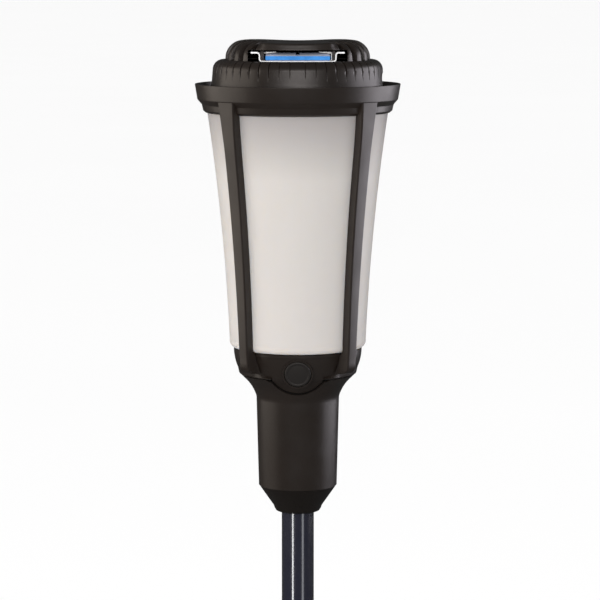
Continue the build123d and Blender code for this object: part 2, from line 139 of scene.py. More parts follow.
def radius_at(outline, z):
    """Radius of an upward running outline at height z."""
    for (low_r, low_z), (high_r, high_z) in zip(outline, outline[1:]):
        if z <= high_z:
            return low_r + (high_r - low_r) * max(0.0, z - low_z) / (high_z - low_z)
    return outline[-1][0]


def ease(value):
    """Smooth step from 0 to 1."""
    value = min(1.0, max(0.0, value))
    return value * value * (3 - 2 * value)


def even_angles(count):
    """Angles that share out a full turn."""
    return [2 * pi * step / count for step in range(count)]


def from_front(angle):
    """Size of an angle counted from the front, either way round."""
    return abs((angle + pi) % (2 * pi) - pi)


# ---------------------------------------------------------------- mesh builders
def new_object(name, bm, sharp_degrees=35):
    """Mesh object from a bmesh, smooth except where faces meet at a sharp angle."""
    bmesh.ops.remove_doubles(bm, verts=bm.verts, dist=1e-7)
    bmesh.ops.recalc_face_normals(bm, faces=bm.faces)
    mesh = bpy.data.meshes.new(name)
    bm.to_mesh(mesh)
    bm.free()
    for polygon in mesh.polygons:
        polygon.use_smooth = True
    mesh.set_sharp_from_angle(angle=radians(sharp_degrees))
    piece = bpy.data.objects.new(name, mesh)
    bpy.context.scene.collection.objects.link(piece)
    return piece


def grid_faces(bm, rows, close_rows, close_columns):
    """Quads between rows of vertices; either direction can close on itself."""
    row_count = len(rows)
    column_count = len(rows[0])
    for i in range(row_count if close_rows else row_count - 1):
        for j in range(column_count if close_columns else column_count - 1):
            a = rows[i][j]
            b = rows[i][(j + 1) % column_count]
            c = rows[(i + 1) % row_count][(j + 1) % column_count]
            d = rows[(i + 1) % row_count][j]
            corners = list(dict.fromkeys([a, b, c, d]))
            if len(corners) > 2:
                bm.faces.new(corners)


def around_axis(radius, angle, z):
    """Point at a radius and height, turned from the front about the pole's axis."""
    return (radius * sin(angle), -radius * cos(angle), z)


def lathe_into(bm, outline, angles, shape=None):
    """Turn a closed outline about the pole's axis. shape(radius, z, angle) may return a new (radius, z)."""
    rows = []
    for angle in angles:
        row = []
        for radius, z in outline:
            if shape:
                radius, z = shape(radius, z, angle)
            row.append(bm.verts.new(around_axis(radius, angle, z)))
        rows.append(row)
    grid_faces(bm, rows, True, True)


def loft_into(bm, sections):
    """Skin over closed sections of equal point count, with both ends capped."""
    rows = [[bm.verts.new(point) for point in section] for section in sections]
    grid_faces(bm, rows, False, True)
    bm.faces.new(rows[0])
    bm.faces.new(list(reversed(rows[-1])))


def cut(piece, cutter_bm):
    """Take a closed shape out of a piece."""
    cutter = new_object("cutter", cutter_bm)
    modifier = piece.modifiers.new("cut", "BOOLEAN")
    modifier.operation = "DIFFERENCE"
    modifier.solver = "EXACT"
    modifier.object = cutter
    bpy.context.view_layer.update()
    evaluated = piece.evaluated_get(bpy.context.evaluated_depsgraph_get())
    mesh = bpy.data.meshes.new_from_object(evaluated)
    piece.modifiers.clear()
    piece.data = mesh
    bpy.data.objects.remove(cutter)


# ---------------------------------------------------------------- materials
class Finish:
    """A material being built, with the few kinds of node that all the finishes use."""

    def __init__(self, name):
        self.material = bpy.data.materials.new(name)
        self.material.use_nodes = True
        self.nodes = self.material.node_tree.nodes
        self.links = self.material.node_tree.links
        self.shader = self.nodes["Principled BSDF"]
        self.place = self.nodes.new("ShaderNodeTexCoord").outputs["Object"]

    def set(self, socket, value):
        """Give one of the shader's sockets the same value all over."""
        self.shader.inputs[socket].default_value = value

    def drive(self, socket, source):
        """Feed one of the shader's sockets from another node."""
        self.links.new(source, self.shader.inputs[socket])

    def noise(self, scale, detail=3.0, roughness=0.5, place=None):
        """Even noise from 0 to 1 in the object's own space, or over another set of coordinates."""
        texture = self.nodes.new("ShaderNodeTexNoise")
        texture.inputs["Scale"].default_value = scale
        texture.inputs["Detail"].default_value = detail
        texture.inputs["Roughness"].default_value = roughness
        self.links.new(place or self.place, texture.inputs["Vector"])
        return texture.outputs["Fac"]

    def spread(self, source, low, high, start=0.0, end=1.0):
        """Map the range start to end onto the range low to high."""
        mapper = self.nodes.new("ShaderNodeMapRange")
        mapper.inputs["From Min"].default_value = start
        mapper.inputs["From Max"].default_value = end
        mapper.inputs["To Min"].default_value = low
        mapper.inputs["To Max"].default_value = high
        self.links.new(source, mapper.inputs["Value"])
        return mapper.outputs["Result"]

    def contrast(self, source, low, high):
        """Stretch the middle of a noise onto the range low to high."""
        return self.spread(source, low, high, 0.3, 0.7)

    def blend(self, factor, first, second):
        """Mix two colours, each a tuple or another node's socket."""
        mix = self.nodes.new("ShaderNodeMix")
        mix.data_type = "RGBA"
        for name, colour in (("A", first), ("B", second)):
            if isinstance(colour, tuple):
                mix.inputs[name].default_value = (*colour, 1)
            else:
                self.links.new(colour, mix.inputs[name])
        self.links.new(factor, mix.inputs["Factor"])
        return mix.outputs["Result"]

    def bump(self, height, distance, strength):
        """Raise the surface's finest marks."""
        node = self.nodes.new("ShaderNodeBump")
        node.inputs["Strength"].default_value = strength
        node.inputs["Distance"].default_value = distance
        self.links.new(height, node.inputs["Height"])
        self.drive("Normal", node.outputs["Normal"])


def moulded(name, colour, second, low_rough=0.30, high_rough=0.42, grain=2600, depth=0.00003):
    """Moulded plastic: fine spark-eroded grain, faint flow marks and uneven sheen."""
    finish = Finish(name)
    flow = finish.contrast(finish.noise(14, 4), 0, 1)
    finish.drive("Base Color", finish.blend(flow, colour, second))
    finish.drive("Roughness", finish.contrast(finish.noise(60, 5), low_rough, high_rough))
    finish.bump(finish.noise(grain, 2), depth, 0.6)
    return finish.material


def coated(name, colour, second, roughness, coat, grain=900):
    """Paint or powder coat with a clear gloss over it and slight orange peel."""
    finish = Finish(name)
    finish.drive("Base Color", finish.blend(finish.noise(22, 4), colour, second))
    finish.drive("Roughness", finish.contrast(finish.noise(90, 4), roughness * 0.8, roughness * 1.3))
    finish.bump(finish.noise(grain, 1), 0.000004, 0.5)
    finish.set("Coat Weight", coat)
    finish.set("Coat Roughness", 0.04)
    return finish.material


def metal(name, colour, second, low_rough, high_rough, stretch=(1, 1, 1)):
    """Bare metal with drawn or ground marks."""
    finish = Finish(name)
    mapping = finish.nodes.new("ShaderNodeMapping")
    mapping.inputs["Scale"].default_value = stretch
    finish.links.new(finish.place, mapping.inputs["Vector"])
    marks = finish.noise(400, 4, place=mapping.outputs["Vector"])
    finish.drive("Base Color", finish.blend(finish.noise(50, 3), colour, second))
    finish.drive("Roughness", finish.contrast(marks, low_rough, high_rough))
    finish.bump(marks, 0.00001, 0.3)
    finish.set("Metallic", 1.0)
    return finish.material


def frosted():
    """Milky diffuser: soft inside scatter and a fine etched skin, with painted shade that darkens its
    colour towards its top, under the rim.
    """
    finish = Finish("frosted_lens")
    split = finish.nodes.new("ShaderNodeSeparateXYZ")
    finish.links.new(finish.place, split.inputs["Vector"])
    # Painted shade: the colour darkens over the upper part of the lens, where the rim and band above shade
    # it.
    ramp = finish.nodes.new("ShaderNodeValToRGB")
    ramp.color_ramp.elements[0].color = (0.452, 0.430, 0.413, 1)
    ramp.color_ramp.elements[1].color = (0.262, 0.247, 0.243, 1)
    middle = ramp.color_ramp.elements.new(0.72)
    middle.color = (0.440, 0.420, 0.402, 1)
    height = finish.spread(split.outputs["Z"], 0, 1, LENS_LOW.z, LENS_HIGH.z)
    finish.links.new(height, ramp.inputs["Fac"])
    finish.drive("Base Color", ramp.outputs["Color"])
    finish.drive("Roughness", finish.contrast(finish.noise(40, 4), 0.42, 0.52))
    finish.bump(finish.noise(1800, 2), 0.00001, 0.4)
    finish.set("Subsurface Weight", 0.6)
    finish.set("Subsurface Radius", (0.9, 0.7, 0.5))
    finish.set("Subsurface Scale", 0.006)
    return finish.material


def fibre_mat():
    """Pressed cellulose mat soaked blue, with fibres, and a paler grey-blue on its upper face that is a
    painted sheen for the light that face catches at a grazing angle.
    """
    finish = Finish("fibre_mat")
    fibres = finish.noise(900, 6, 0.7)
    blot = finish.noise(120, 3)
    soaked = finish.blend(finish.spread(blot, 0, 1, 0.35, 0.65), (0.035, 0.24, 0.66), (0.06, 0.32, 0.80))
    # Painted sheen: the upper face's paler grey-blue stands in for the light it reflects at a grazing
    # angle.
    painted_top_sheen = finish.blend(blot, (0.44, 0.49, 0.64), (0.54, 0.59, 0.74))
    geometry = finish.nodes.new("ShaderNodeNewGeometry")
    normal = finish.nodes.new("ShaderNodeSeparateXYZ")
    finish.links.new(geometry.outputs["Normal"], normal.inputs["Vector"])
    faces_up = finish.spread(normal.outputs["Z"], 0, 1, 0.6, 0.8)
    finish.drive("Base Color", finish.blend(faces_up, soaked, painted_top_sheen))
    finish.drive("Roughness", finish.spread(fibres, 0.75, 0.95))
    finish.bump(fibres, 0.0002, 0.8)
    finish.set("Sheen Weight", 0.3)
    return finish.material


def painted_slot_shade():
    """Painted shade: a near-black, dull finish for the floors of the grille's slots and for the bead in the
    grip's notch, standing in for the shadow deep inside them.
    """
    made = moulded("painted_slot_shade", (0.0020, 0.0015, 0.0012), (0.0030, 0.0022, 0.0018), 0.70, 0.80)
    made.node_tree.nodes["Principled BSDF"].inputs["Specular IOR Level"].default_value = 0.15
    return made


# The record's material slots
MATERIALS = {
    "housing": moulded("bronze_plastic", (0.0105, 0.0074, 0.0057), (0.0135, 0.0096, 0.0074)),
    # The nose is the housing's bronze plastic, painted about half as bright: painted shade for its
    # downward-facing cone.
    "nose": moulded("bronze_plastic_nose_painted_shade", (0.0050, 0.0034, 0.0025), (0.0070, 0.0050, 0.0038)),
    "lens": frosted(),
    "pole": coated("navy_gloss", (0.0075, 0.0080, 0.0145), (0.0095, 0.0100, 0.0180), 0.22, 1.0),
    "spike": coated("spike_coat", (0.030, 0.030, 0.032), (0.045, 0.043, 0.042), 0.45, 0.1),
    "black_plastic": moulded("black_plastic", (0.022, 0.022, 0.022), (0.030, 0.030, 0.030)),
    "button": moulded(
        "soft_button", (0.0095, 0.0080, 0.0072), (0.0125, 0.0105, 0.0094), 0.42, 0.52, 1800, 0.00005),
    "dial": moulded("dial_plastic", (0.038, 0.033, 0.030), (0.048, 0.042, 0.038)),
    "tray": coated("bright_tray", (0.93, 0.94, 0.95), (0.88, 0.89, 0.91), 0.20, 0.6, 500),
    "mat": fibre_mat(),
    "heater": metal("cast_aluminium", (0.62, 0.62, 0.63), (0.54, 0.54, 0.55), 0.35, 0.55),
    "steel": metal("zinc_steel", (0.55, 0.55, 0.56), (0.48, 0.48, 0.50), 0.25, 0.42),
    "brass": metal("machined_brass", (0.72, 0.53, 0.24), (0.62, 0.44, 0.18), 0.18, 0.32, (1, 1, 20)),
    "circuit": coated("solder_mask", (0.020, 0.110, 0.045), (0.026, 0.140, 0.060), 0.35, 0.4),
    "light": coated("light_chip", (0.90, 0.84, 0.50), (0.95, 0.90, 0.62), 0.25, 0.6),
    "cell": coated("cell_wrap", (0.20, 0.20, 0.21), (0.30, 0.30, 0.31), 0.25, 0.5),
    "cartridge": coated("cartridge_paint", (0.27, 0.28, 0.30), (0.33, 0.34, 0.36), 0.30, 0.4),
    "white_plastic": moulded("white_plastic", (0.90, 0.90, 0.88), (0.94, 0.94, 0.92)),
    "gasket": moulded("gasket_rubber", (0.018, 0.018, 0.018), (0.026, 0.026, 0.026), 0.6, 0.75),
}
# Near-black finish that paints shade into the slot floors and the notch.
PAINTED_SLOT_SHADE = painted_slot_shade()


def dress_frame():
    """Give every CAD node the finish of its material slot."""
    slots = {part["node"]: part["material_slot"] for part in frame["record"]["subparts"]}
    for name, node in cad_nodes.items():
        node.data.materials.clear()
        node.data.materials.append(MATERIALS[slots[name]])


def place(piece, body, slot, *stands_for):
    """Give a piece its slot's finish if it has none, let it ride on a body and stand for CAD nodes."""
    if not piece.data.materials:
        piece.data.materials.append(MATERIALS[slot])
    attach(piece, body)
    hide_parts(*stands_for)
    return piece


# ---------------------------------------------------------------- cage
RIM_R = 73.4                                   # outer radius of the rim's band
STEP_R = 71.6                                  # radius of the stepped ring where the band starts
JOIN = 294.6                                   # height of that place, which the posts run into
LENS_CLEAR = 0.25
CUP_LINE = arc3(mm(41.0, CUP_BOTTOM), mm(44.6, 105.8), mm(46.1, CUP_TOP))
LENS_LINE = arc3(mm(49.0, 122.0), mm(54.6, 203.0), mm(64.9, LENS_TOP), 24)
POST_OUT = (
    [mm(42.4, CUP_BOTTOM), mm(43.2, 101.2)]
    + arc3(mm(50.5, 102.0), mm(53.3, 104.2), mm(54.3, 108.5), 10)
    + arc3(mm(55.3, 122.0), mm(60.9, 203.0), mm(69.4, 276.0), 24)
    + [mm(STEP_R, JOIN)])
POST_IN = CUP_LINE + [mm(49.0, 116.2)] + LENS_LINE + [mm(65.2, 288.2), mm(65.2, 294.2)]


def post_half_width(height):
    """Half the width of a post: straight at the foot, slowly wider, then flared into the rim."""
    slow = 4.15 + 1.6 * min(1.0, max(0.0, (height - 118) / 144))
    flare = max(0.0, (height - 258) / 36.2)
    return (slow + 1.95 * flare ** 1.6) * MM


def post_section(height, turn):
    """Section of a post at a height, turned about the pole's axis. Its foot spreads into the cup."""
    corner = 1.25 * MM
    half = post_half_width(height)
    z = HEAD + height * MM
    inner = radius_at(POST_IN, z) + LENS_CLEAR * MM
    outer = radius_at(POST_OUT, z)
    web = (0.02 + 1.6 * ease((113.0 - height) / 10.0)) * MM
    root = half + web
    root_y = sqrt(inner ** 2 - root ** 2)
    bend = half + 0.3 * web
    bend_y = root_y + 0.3 * web
    side_y = root_y + web
    outline = rounded([
        (-half, side_y, 0), (-bend, bend_y, 0), (-root, root_y, 0),
        (root, root_y, 0), (bend, bend_y, 0), (half, side_y, 0),
        (half, outer, corner), (-half, outer, corner)])
    spin = Matrix.Rotation(turn, 3, "Z")
    return [spin @ Vector((x, -radius, z)) for x, radius in outline]


def make_ledge(bm):
    """Lower edge of the cage: low beside the tongue, climbing to the posts, and on round the back."""
    tongue_edge = radians(27.2)
    climb_angle = radians(17.0)
    panel_edge = radians(44.0)
    steps = 150
    sections = []
    for step in range(steps + 1):
        angle = tongue_edge + 2 * (pi - tongue_edge) * step / steps
        aside = min(angle, 2 * pi - angle)
        climb = ease((aside - tongue_edge) / climb_angle)
        on_panel = 1 - ease((aside - panel_edge) / radians(4.0))
        top = 98.4 + 3.3 * climb
        top_r = radius_at(CUP_LINE, HEAD + top * MM) - (0.95 * on_panel - 0.05) * MM
        outline = rounded([
            (*mm(39.2, CUP_BOTTOM), 0), (*mm(42.1, CUP_BOTTOM), 0.25 * MM), (*mm(42.4, 98.2), 0.3 * MM),
            (top_r, HEAD + top * MM, 0.15 * MM), (top_r - 1.0 * MM, HEAD + top * MM, 0)])
        sections.append([around_axis(radius, angle, z) for radius, z in outline])
    loft_into(bm, sections)


def make_cage():
    """Rim with its stepped ring, four posts and the ledge, in one moulding."""
    bm = bmesh.new()
    rim = rounded([
        (*mm(65.3, 284.9), 0.4 * MM), (*mm(67.5, 286.6), 1.0 * MM), (*mm(68.5, 291.0), 1.5 * MM),
        (*mm(STEP_R, JOIN), 1.5 * MM), (*mm(RIM_R, RIM_TOP), 0.5 * MM),
        (*mm(RIM_R - 1.6, RIM_TOP), 0.5 * MM), (*mm(RIM_R - 3.2, RIM_FLOOR), 0.8 * MM),
        (*mm(52.0, RIM_FLOOR), 0), (*mm(52.0, BULKHEAD_TOP), 0),
        (*mm(64.0, BULKHEAD_TOP), 0), (*mm(65.3, 292.0), 0)])
    lathe_into(bm, rim, even_angles(240))

    foot_levels = [100.9, 101.2, 101.4, 101.6, 101.8] + [102.0 + 0.35 * step for step in range(8)]
    shaft_levels = [105.2, 107.0, 110.0, 114.0, 118.0] + [122.0 + 8.0 * step for step in range(17)]
    head_levels = [258.0 + 3.02 * step for step in range(13)]
    levels = foot_levels + shaft_levels + head_levels
    for quarter in range(4):
        turn = pi / 4 + quarter * pi / 2
        loft_into(bm, [post_section(height, turn) for height in levels])
    make_ledge(bm)
    place(new_object("cage_shell", bm), "head", "housing", "cage")


# ---------------------------------------------------------------- grip, nose and button
GRIP_BOTTOM = 15.7
GRIP_TOP_R = 29.85
GRIP_TOP = 80.6                                # where the grip starts to flare
GRIP_LINE = (
    [mm(28.2, GRIP_BOTTOM), mm(GRIP_TOP_R, GRIP_TOP)]
    + arc3(mm(GRIP_TOP_R, GRIP_TOP), mm(34.3, 89.6), mm(39.9, 95.6))[1:]
    + [mm(41.2, SEAM)])


def grip_top(angle):
    """Height of the grip's upper edge: the seam, or lower in front, where the panel's tongue hangs."""
    if cos(angle) <= 0:
        return SEAM_Z
    tongue_half = 18.7 * MM
    tongue_drop = CUP_Z - TONGUE_Z
    tongue_r = (tongue_half ** 2 + tongue_drop ** 2) / (2 * tongue_drop)
    notch_r = tongue_r + 1.3 * MM
    end_gap = 1.7 * MM                         # the gap is this much wider at either end of the notch
    end_gap_across = 20.6 * MM
    top = TONGUE_Z
    for _ in range(12):
        across = min(notch_r, abs(radius_at(GRIP_LINE, top) * sin(angle)))
        top = min(SEAM_Z, TONGUE_Z + tongue_r - sqrt(notch_r ** 2 - across ** 2))
        top -= end_gap * exp(-(((across - end_gap_across) / (1.5 * MM)) ** 2))
    return top


def grip_section(angle):
    """Closed section of the grip's wall: up the outside, over a rounded edge and down the inside."""
    wall = 1.8 * MM
    edge = 0.8 * MM
    low = HEAD + GRIP_BOTTOM * MM
    top = grip_top(angle)
    shares = [0, 0.01, 0.02, 0.2, 0.4, 0.6, 0.74] + [0.78 + 0.02 * step for step in range(12)]
    heights = [low + (top - edge - low) * share for share in shares]
    outside = [(radius_at(GRIP_LINE, z), z) for z in heights]
    top_r = radius_at(GRIP_LINE, top)
    crown = [
        (top_r - 0.16 * edge, top - 0.4 * edge),
        (top_r - 0.45 * edge, top - 0.1 * edge),
        (top_r - edge, top)]
    lip = 1.6 * MM * ease((top - SEAM_Z) / (2 * MM) + 1)
    inside = [(top_r - wall - lip, top), (top_r - wall - lip, top - 1.4 * MM)]
    inside += [(radius - wall, z - 1.6 * MM) for radius, z in reversed(outside[3:])]
    inside.append((outside[0][0] - wall, low))
    return outside + crown + inside


def notch_shadow_bead_section(angle):
    """Section of the dark bead that closes the gap between the notch and the tongue, a painted shadow for
    that gap.
    """
    top = grip_top(angle)
    top_r = radius_at(GRIP_LINE, top)
    front = top_r - 1.1 * MM
    back = top_r - 2.0 * MM
    low = top - 0.2 * MM
    high = top + 1.1 * MM
    return [(front, low), (front, high), (back, high), (back, low)]


def make_handle():
    """Round grip, flared and notched at the top, with a dark bead along the notch that paints the shadow in
    the gap.
    """
    angles = even_angles(288)
    bm = bmesh.new()
    rows = []
    for angle in angles:
        rows.append([bm.verts.new(around_axis(radius, angle, z)) for radius, z in grip_section(angle)])
    grid_faces(bm, rows, True, True)
    place(new_object("handle_shell", bm, 40), "root", "housing", "handle")

    in_notch = [angle for angle in angles if grip_top(angle) < SEAM_Z - 0.5 * MM]
    from_left = sorted((angle + pi) % (2 * pi) - pi for angle in in_notch)
    shadow_bead_mesh = bmesh.new()
    loft_into(shadow_bead_mesh, [
        [around_axis(radius, angle, z) for radius, z in notch_shadow_bead_section(angle)] for angle in from_left])
    notch_shadow_bead = new_object("notch_shadow_bead", shadow_bead_mesh)
    # The bead wears the near-black finish: painted shadow in the gap between the tongue and the notch.
    notch_shadow_bead.data.materials.append(PAINTED_SLOT_SHADE)
    place(notch_shadow_bead, "root", "gasket", "handle")


def make_nose():
    """Nose that closes the grip: set in a little, concave, and rounded in to the pole at its end."""
    bore = 12.4
    tip = [mm(bore, -3.8), mm(14.4, -3.8), mm(15.8, -3.2), mm(16.8, -1.6)]
    skin = arc3(mm(17.6, 0.6), mm(22.2, 7.2), mm(27.2, 14.4), 14)
    top = [mm(27.4, 15.5), mm(27.4, 17.5), mm(25.0, 17.5), mm(25.0, 19.5), mm(bore, 19.5)]
    bm = bmesh.new()
    lathe_into(bm, tip + skin + top, even_angles(144))
    place(new_object("nose_shell", bm), "root", "nose", "nose_socket")


def make_button():
    """Soft round button: a raised rim about a low dome, on a short plunger."""
    profile = (
        [(0, -6.0), (2.0, -6.0), (2.0, -3.8), (9.4, -3.8)]
        + arc3((9.4, -0.75), (9.05, -0.05), (8.4, 0.2), 7)
        + arc3((8.1, 0.2), (7.6, 0.05), (7.3, -0.2), 5)
        + arc3((7.0, -0.25), (3.7, 0.2), (0, 0.38), 12))
    tilt = radians(13.0)
    out = Vector((0, -cos(tilt), -sin(tilt)))
    up = Vector((0, -sin(tilt), cos(tilt)))
    side = Vector((1, 0, 0))
    origin = Vector((0, -43.5 * MM, HEAD + 102.1 * MM))
    bm = bmesh.new()
    rows = []
    for angle in even_angles(72):
        around = side * cos(angle) + up * sin(angle)
        points = [origin + (around * radius + out * rise) * MM for radius, rise in profile]
        rows.append([bm.verts.new(point) for point in points])
    grid_faces(bm, rows, True, False)
    place(new_object("light_button_cap", bm), "button", "button", "light_button")


# ---------------------------------------------------------------- grilles
def groove_angles(centres, half_width):
    """Angles for a ring of grooves: close together in each groove, wide apart between."""
    spots = [-1.0, -0.85, -0.7, -0.55, -0.4, 0, 0.4, 0.55, 0.7, 0.85, 1.0]
    angles = []
    for centre, following in zip(centres, centres[1:] + [centres[0] + 2 * pi]):
        angles += [centre + spot * half_width for spot in spots]
        rest = following - centre - 2 * half_width
        angles += [centre + half_width + rest * share for share in (0.2, 0.4, 0.6, 0.8)]
    return angles


def groove_depth(angle, centres, half_width, slope, crown):
    """Share of the full depth at an angle. slope is the angle that a groove's side takes up, and crown
    is how far the rounded ribs fall away towards the grooves, as a share of the depth."""
    pitch = 2 * pi / len(centres)
    away = min(from_front(angle - centre) for centre in centres)
    return ease((half_width - away) / slope) + crown * max(0.0, 1 - 2 * away / pitch) ** 2


def sink(radius, z, depth, centre_r, centre_z):
    """Move a point in from the skin: inwards on the wall, down on the top, both on the shoulder."""
    inward = Vector((min(0.0, centre_r - radius), min(0.0, centre_z - z)))
    if inward.length < 1e-9:
        return radius, z
    inward = inward.normalized() * depth
    return radius + inward.x, z + inward.y


def make_lower_grille():
    """Lower tier: a skirt with thin grooves that fade out downwards and in front, and a side vent."""
    half_width = radians(0.55)
    first = radians(5.1)
    pitch = radians(7.2)
    one_side = [first + pitch * step for step in range(25)]
    centres = [-angle for angle in reversed(one_side)] + one_side
    wall = [mm(62.8, RIM_FLOOR), mm(62.6, 298.5), mm(62.1, 302.0), mm(61.5, 306.0)]
    wall += [mm(61.3 - 0.08 * step, 307.0 + step) for step in range(8)]
    shoulder = arc3(mm(60.6, 315.5), mm(58.8, 320.4), mm(54.8, 322.7), 12)
    skin = wall + shoulder + [mm(53.2, 322.6), mm(52.3, 322.3)]
    inside = [mm(51.9, 321.8), mm(44.0, 321.8), mm(44.0, 320.0)]
    inside += [mm(56.6, 320.0), mm(58.0, 317.0), mm(59.2, RIM_FLOOR)]
    skin_points = set(skin)

    def shape(radius, z, angle):
        if (radius, z) not in skin_points:
            return radius, z
        height = (z - HEAD) / MM
        from_middle = ease((from_front(angle) - radians(8.0)) / radians(22.0))
        fade = ease((height - 307.5) / 9) * (0.30 + 0.70 * from_middle)
        share = groove_depth(angle, centres, half_width * (0.4 + 0.6 * fade), 0.7 * half_width, 0.04)
        return sink(radius, z, 1.4 * MM * fade * share, 53.5 * MM, HEAD + 315.5 * MM)

    bm = bmesh.new()
    lathe_into(bm, skin + inside, groove_angles(centres, half_width), shape)
    piece = new_object("lower_grille_shell", bm, 50)

    vent_half = 13.0
    vent_top = 313.5
    vent_corner = 7.0
    vent = rounded([
        (-vent_half, 290.0, 0), (vent_half, 290.0, 0),
        (vent_half, vent_top, vent_corner), (-vent_half, vent_top, vent_corner)])
    cutter = bmesh.new()
    loft_into(cutter, [
        [(x * MM, y * MM, HEAD + height * MM) for y, height in vent] for x in (52.0, 70.0)])
    cut(piece, cutter)
    place(piece, "head", "housing", "lower_grille")


def make_upper_grille():
    """Upper tier: broad slots round the sides and back, and a squared lintel over the front window."""
    half_width = radians(3.3)
    slope = 0.4 * half_width
    centres = even_angles(28)
    plain_front = radians(35.0)
    lintel_half = radians(26.0)
    squareness = 0.90
    wall = [mm(51.8 - 0.1 * step, SHELF + 1.27 * step) for step in range(3)]
    skin = wall + arc3(mm(51.5, 326.0), mm(48.6, 332.2), mm(40.0, 336.8), 16)
    skin += [mm(38.0, 337.1), mm(36.0, 337.3), mm(33.0, 337.5)]
    skin += [mm(31.0, 337.3), mm(29.0, 336.9), mm(12.0, 336.5)]
    inside = [mm(0, 336.5), mm(0, 334.5), mm(33.0, 335.3)]
    inside += arc3(mm(39.4, 334.7), mm(46.6, 330.6), mm(49.3, 325.6), 8) + [mm(49.4, SHELF)]
    skin_points = set(skin)

    def shape(radius, z, angle):
        height = (z - HEAD) / MM
        aside = from_front(angle)
        on_lintel = 1 - ease((aside - lintel_half) / radians(16.0))
        to_square = squareness * min(51.5 * MM - radius, (radius - 12.0 * MM) * 0.41)
        push = max(0.0, to_square) * on_lintel
        on_sides = ease((aside - plain_front) / radians(3.0))
        fade = ease((height - 321.4) / 2.5) * ease((radius / MM - 34.0) / 7.0) * on_sides
        share = groove_depth(angle, centres, half_width, slope, 0.45)
        depth = (4.4 if (radius, z) in skin_points else 3.5) * MM * fade * share
        radius, z = sink(radius, z, depth, 40.5 * MM, HEAD + 325.6 * MM)
        across = radius * sin(angle) / (30.0 * MM)
        dip = 2.1 * MM * exp(-(across ** 2)) * ease((height - 330.0) / 5.0)
        return radius + push, z - dip

    bm = bmesh.new()
    lathe_into(bm, skin + inside, groove_angles(centres, half_width), shape)
    piece = new_object("upper_grille_shell", bm, 50)
    piece.data.materials.append(MATERIALS["housing"])
    piece.data.materials.append(PAINTED_SLOT_SHADE)
    # Faces on the floors of the slots round the sides and back take the near-black finish: painted shade.
    for face in piece.data.polygons:
        x, y, z = face.center
        angle = atan2(x, -y)
        on_floor = groove_depth(angle, centres, half_width, slope, 0) > 0.9
        is_outer = hypot(x, y) > 38 * MM and z > HEAD + 323.5 * MM
        if on_floor and is_outer and abs(angle) > plain_front:
            face.material_index = 1

    window_half = 34.9
    window_top = 330.6
    window = rounded([
        (-window_half, 318.0, 0), (window_half, 318.0, 0),
        (window_half, window_top, 1.2), (-window_half, window_top, 1.2)])
    cutter = bmesh.new()
    loft_into(cutter, [
        [(x * MM, y * MM, HEAD + height * MM) for x, height in window] for y in (-70.0, -1.0)])
    cut(piece, cutter)
    place(piece, "head", "housing", "upper_grille")


# ---------------------------------------------------------------- mat and tray
LIP_DROP = 0.6 * MM                            # the tray's front lip bends down, and the mat follows it


def ribbon(bm, centre_line, thick, front, back, edge):
    """Sheet of even thickness along a centre line in the front view, with softened front and back edges."""
    line = [Vector(point) for point in centre_line]
    sides = []
    for index in range(len(line)):
        before = line[max(0, index - 1)]
        after = line[min(len(line) - 1, index + 1)]
        along = (after - before).normalized()
        sides.append(Vector((-along.y, along.x)))
    soft = edge * thick
    sections = []
    for y, share in ((front, 1 - edge), (front + soft, 1.0), (back - soft, 1.0), (back, 1 - edge)):
        upper = [point + side * thick / 2 * share for point, side in zip(line, sides)]
        lower = [point - side * thick / 2 * share for point, side in zip(line, sides)]
        sections.append([(p.x, y, p.y) for p in upper + list(reversed(lower))])
    loft_into(bm, sections)


def make_tray():
    """Bright folded sheet: a floor, two walls and two flanges, with the front lip bent down."""
    thick = 1.1 * MM
    low = TRAY_LOW.z + thick / 2
    high = TRAY_HIGH.z - 1.2 * MM
    wall = 26.7 * MM
    bend = 2.2 * MM
    right = [(wall, low, bend), (wall, high, bend), (TRAY_HIGH.x, high, 0)]
    left = [(-x, z, radius) for x, z, radius in reversed(right)]
    bm = bmesh.new()
    ribbon(bm, rounded(left + right, closed=False, steps=8), thick, TRAY_LOW.y, TRAY_HIGH.y, 0.35)
    for vert in bm.verts:
        if vert.co.y < TRAY_LOW.y + 6 * MM:
            vert.co.z -= LIP_DROP
    place(new_object("mat_tray_sheet", bm), "head", "tray", "mat_tray")


def make_guides():
    """Ends of the mat's guide: two struts from tray to lintel, a liner beside the right one, and a wedge
    over each side of the mat."""
    low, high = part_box("mat_guides")
    liner = 23.7 * MM
    wedge_end = 15.0 * MM
    struts = bmesh.new()
    for x, width in ((-24.8 * MM, 2.6 * MM), (25.05 * MM, 2.1 * MM)):
        ribbon(struts, [(x, low.z), (x, high.z + MM)], width, low.y - 3.5 * MM, low.y, 0.25)
    place(new_object("mat_guide_struts", struts), "head", "housing", "mat_guides")

    liners = bmesh.new()
    ribbon(liners, [(liner, low.z), (liner, high.z)], 0.6 * MM, low.y, high.y, 0.3)
    for side in (-1, 1):
        wedge = [
            (side * liner, high.z), (side * liner, high.z - 1.3 * MM),
            (side * wedge_end, high.z - 0.4 * MM), (side * wedge_end, high.z)]
        loft_into(liners, [[(x, y, z) for x, z in wedge] for y in (low.y, low.y + 20 * MM)])
    place(new_object("mat_guide_liners", liners), "head", "white_plastic", "mat_guides")


